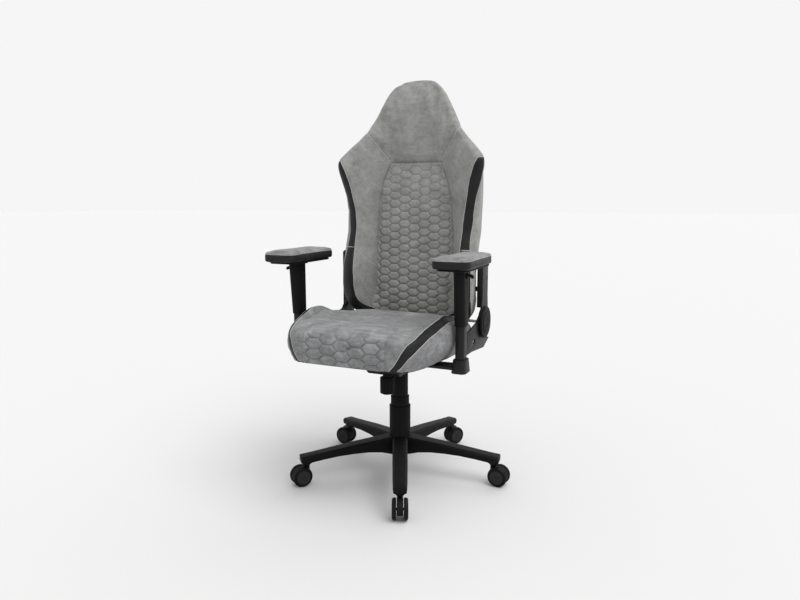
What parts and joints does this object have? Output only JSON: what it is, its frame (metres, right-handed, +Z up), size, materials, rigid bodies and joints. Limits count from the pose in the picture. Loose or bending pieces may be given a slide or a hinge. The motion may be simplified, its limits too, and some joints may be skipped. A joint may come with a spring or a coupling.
{
  "type": "gaming chair",
  "caption": "High-back racing-style swivel chair: star base on twin-wheel casters, gas lift, bucket seat, reclining winged backrest and adjustable armrests.",
  "frame": {"origin": "on the floor, at the centre of the chair's bounding box", "axes": "+Z up, -Y the way the sitter faces, +X the sitter's left; the swivel axis stands at x = -20 mm, y = 14 mm"},
  "size_m": [0.6954, 0.7556, 1.298],
  "materials": {
    "black_nylon": "satin",
    "tread_nylon": "matte",
    "painted_steel": "satin",
    "bright_steel": "satin",
    "plywood": "matte",
    "grey_suede": "matte",
    "pale_suede": "matte",
    "black_shell": "matte"
  },
  "bodies": {
    "base": {"five_star_base": "black_nylon", "lift_tube": "painted_steel", "cover_lower": "black_nylon"},
    "lift": {"lift_rod": "bright_steel"},
    "cover_middle": {"cover_middle": "black_nylon"},
    "mechanism": {"mechanism_housing": "painted_steel", "cover_upper": "black_nylon", "tilt_pin": "bright_steel"},
    "tension_knob": {"tension_knob": "black_nylon"},
    "height_lever": {"height_lever": "painted_steel"},
    "seat": {"mechanism_plate": "painted_steel", "seat_pan": "plywood", "seat_cushion": "pale_suede", "recline_bracket_left": "painted_steel", "recline_bracket_right": "painted_steel", "armrest_bracket_left": "painted_steel", "armrest_bracket_right": "painted_steel", "armrest_post_left": "painted_steel", "armrest_post_right": "painted_steel"},
    "backrest": {"back_frame": "painted_steel", "back_cushion": "grey_suede", "back_panel": "black_shell", "recline_arm_left": "painted_steel", "recline_arm_right": "painted_steel", "recline_cover_left": "black_nylon", "recline_cover_right": "black_nylon"},
    "recline_lever": {"recline_lever": "black_nylon", "recline_sync_rod": "bright_steel"},
    "armrest_left": {"armrest_sleeve_left": "black_nylon"},
    "armrest_lever_left": {"armrest_lever_left": "black_nylon"},
    "armrest_turn_left": {"armrest_turntable_left": "black_nylon"},
    "armrest_pad_left": {"armrest_slider_left": "black_nylon", "armrest_pad_left": "pale_suede"},
    "armrest_right": {"armrest_sleeve_right": "black_nylon"},
    "armrest_lever_right": {"armrest_lever_right": "black_nylon"},
    "armrest_turn_right": {"armrest_turntable_right": "black_nylon"},
    "armrest_pad_right": {"armrest_slider_right": "black_nylon", "armrest_pad_right": "pale_suede"},
    "caster_1": {"caster_stem_1": "bright_steel", "caster_hood_1": "black_nylon"},
    "caster_wheel_1a": {"caster_wheel_1a": "tread_nylon"},
    "caster_wheel_1b": {"caster_wheel_1b": "tread_nylon"},
    "caster_2": {"caster_stem_2": "bright_steel", "caster_hood_2": "black_nylon"},
    "caster_wheel_2a": {"caster_wheel_2a": "tread_nylon"},
    "caster_wheel_2b": {"caster_wheel_2b": "tread_nylon"},
    "caster_3": {"caster_stem_3": "bright_steel", "caster_hood_3": "black_nylon"},
    "caster_wheel_3a": {"caster_wheel_3a": "tread_nylon"},
    "caster_wheel_3b": {"caster_wheel_3b": "tread_nylon"},
    "caster_4": {"caster_stem_4": "bright_steel", "caster_hood_4": "black_nylon"},
    "caster_wheel_4a": {"caster_wheel_4a": "tread_nylon"},
    "caster_wheel_4b": {"caster_wheel_4b": "tread_nylon"},
    "caster_5": {"caster_stem_5": "bright_steel", "caster_hood_5": "black_nylon"},
    "caster_wheel_5a": {"caster_wheel_5a": "tread_nylon"},
    "caster_wheel_5b": {"caster_wheel_5b": "tread_nylon"}
  },
  "joints": [
    {"name": "lift_height", "type": "slide", "parent": "base", "child": "lift", "axis": [0, 0, 1], "range_m": [-0.06, 0.02]},
    {"name": "cover_middle_slide", "type": "slide", "parent": "base", "child": "cover_middle", "axis": [0, 0, 1], "range_m": [-0.03, 0.01]},
    {"name": "seat_swivel", "type": "hinge", "parent": "lift", "child": "mechanism", "pos_m": [-0.02, 0.014, 0.38], "axis": [0, 0, 1], "continuous": true},
    {"name": "seat_tilt", "type": "hinge", "parent": "mechanism", "child": "seat", "pos_m": [-0.02, -0.026, 0.42], "axis": [-1, 0, 0], "range_deg": [0, 12], "stiffness_Nm_per_rad": 120, "springref_deg": -20.05},
    {"name": "backrest_recline", "type": "hinge", "parent": "seat", "child": "backrest", "pos_m": [-0.02, 0.122, 0.515], "axis": [-1, 0, 0], "range_deg": [0, 62]},
    {"name": "recline_lever_pull", "type": "hinge", "parent": "seat", "child": "recline_lever", "pos_m": [-0.02, 0.122, 0.515], "axis": [-1, 0, 0], "range_deg": [0, 20], "stiffness_Nm_per_rad": 1, "springref_deg": -11.46},
    {"name": "height_lever_lift", "type": "hinge", "parent": "mechanism", "child": "height_lever", "pos_m": [-0.073, 0.014, 0.4135], "axis": [0, 1, 0], "range_deg": [0, 6], "stiffness_Nm_per_rad": 2, "springref_deg": -17.19},
    {"name": "tension_knob_turn", "type": "hinge", "parent": "mechanism", "child": "tension_knob", "pos_m": [-0.02, -0.086, 0.33], "axis": [0, 0, 1], "range_deg": [-360, 360]},
    {"name": "armrest_height_left", "type": "slide", "parent": "seat", "child": "armrest_left", "axis": [0, 0, 1], "range_m": [-0.07, 0.01]},
    {"name": "armrest_lever_press_left", "type": "hinge", "parent": "armrest_left", "child": "armrest_lever_left", "pos_m": [0.265, -0.173, 0.7], "axis": [0, -1, 0], "range_deg": [0, 15], "stiffness_Nm_per_rad": 0.3, "springref_deg": -8.59},
    {"name": "armrest_pad_turn_left", "type": "hinge", "parent": "armrest_left", "child": "armrest_turn_left", "pos_m": [0.25, -0.164, 0.706], "axis": [0, 0, 1], "range_deg": [-25, 25]},
    {"name": "armrest_pad_slide_left", "type": "slide", "parent": "armrest_turn_left", "child": "armrest_pad_left", "axis": [0, 1, 0], "range_m": [-0.03, 0.03]},
    {"name": "armrest_height_right", "type": "slide", "parent": "seat", "child": "armrest_right", "axis": [0, 0, 1], "range_m": [-0.07, 0.01]},
    {"name": "armrest_lever_press_right", "type": "hinge", "parent": "armrest_right", "child": "armrest_lever_right", "pos_m": [-0.305, -0.173, 0.7], "axis": [0, 1, 0], "range_deg": [0, 15], "stiffness_Nm_per_rad": 0.3, "springref_deg": -8.59},
    {"name": "armrest_pad_turn_right", "type": "hinge", "parent": "armrest_right", "child": "armrest_turn_right", "pos_m": [-0.29, -0.164, 0.706], "axis": [0, 0, 1], "range_deg": [-25, 25]},
    {"name": "armrest_pad_slide_right", "type": "slide", "parent": "armrest_turn_right", "child": "armrest_pad_right", "axis": [0, 1, 0], "range_m": [-0.03, 0.03]},
    {"name": "caster_1_swivel", "type": "hinge", "parent": "base", "child": "caster_1", "pos_m": [0.10853, -0.27468, 0.07], "axis": [0, 0, 1], "continuous": true},
    {"name": "caster_1_wheel_a", "type": "hinge", "parent": "caster_1", "child": "caster_wheel_1a", "pos_m": [0.11666, -0.29295, 0.0318], "axis": [0.9135, 0.4067, 0], "continuous": true},
    {"name": "caster_1_wheel_b", "type": "hinge", "parent": "caster_1", "child": "caster_wheel_1b", "pos_m": [0.11666, -0.29295, 0.0318], "axis": [0.9135, 0.4067, 0], "continuous": true},
    {"name": "caster_2_swivel", "type": "hinge", "parent": "base", "child": "caster_2", "pos_m": [0.29427, 0.04703, 0.07], "axis": [0, 0, 1], "continuous": true},
    {"name": "caster_2_wheel_a", "type": "hinge", "parent": "caster_2", "child": "caster_wheel_2a", "pos_m": [0.31416, 0.04494, 0.0318], "axis": [0.1045, 0.9945, 0], "continuous": true},
    {"name": "caster_2_wheel_b", "type": "hinge", "parent": "caster_2", "child": "caster_wheel_2b", "pos_m": [0.31416, 0.04494, 0.0318], "axis": [0.1045, 0.9945, 0], "continuous": true},
    {"name": "caster_3_swivel", "type": "hinge", "parent": "base", "child": "caster_3", "pos_m": [0.0457, 0.3231, 0.07], "axis": [0, 0, 1], "continuous": true},
    {"name": "caster_3_wheel_a", "type": "hinge", "parent": "caster_3", "child": "caster_wheel_3a", "pos_m": [0.05746, 0.33927, 0.0318], "axis": [-0.809, 0.5878, 0], "continuous": true},
    {"name": "caster_3_wheel_b", "type": "hinge", "parent": "caster_3", "child": "caster_wheel_3b", "pos_m": [0.05746, 0.33927, 0.0318], "axis": [-0.809, 0.5878, 0], "continuous": true},
    {"name": "caster_4_swivel", "type": "hinge", "parent": "base", "child": "caster_4", "pos_m": [-0.29366, 0.172, 0.07], "axis": [0, 0, 1], "continuous": true},
    {"name": "caster_4_wheel_a", "type": "hinge", "parent": "caster_4", "child": "caster_wheel_4a", "pos_m": [-0.31355, 0.17409, 0.0318], "axis": [-0.1045, -0.9945, 0], "continuous": true},
    {"name": "caster_4_wheel_b", "type": "hinge", "parent": "caster_4", "child": "caster_wheel_4b", "pos_m": [-0.31355, 0.17409, 0.0318], "axis": [-0.1045, -0.9945, 0], "continuous": true},
    {"name": "caster_5_swivel", "type": "hinge", "parent": "base", "child": "caster_5", "pos_m": [-0.25483, -0.19745, 0.07], "axis": [0, 0, 1], "continuous": true},
    {"name": "caster_5_wheel_a", "type": "hinge", "parent": "caster_5", "child": "caster_wheel_5a", "pos_m": [-0.26659, -0.21363, 0.0318], "axis": [0.809, -0.5878, 0], "continuous": true},
    {"name": "caster_5_wheel_b", "type": "hinge", "parent": "caster_5", "child": "caster_wheel_5b", "pos_m": [-0.26659, -0.21363, 0.0318], "axis": [0.809, -0.5878, 0], "continuous": true}
  ],
  "couplings": [
    {"joint": "cover_middle_slide", "follows": "lift_height", "ratio": 0.5}
  ]
}
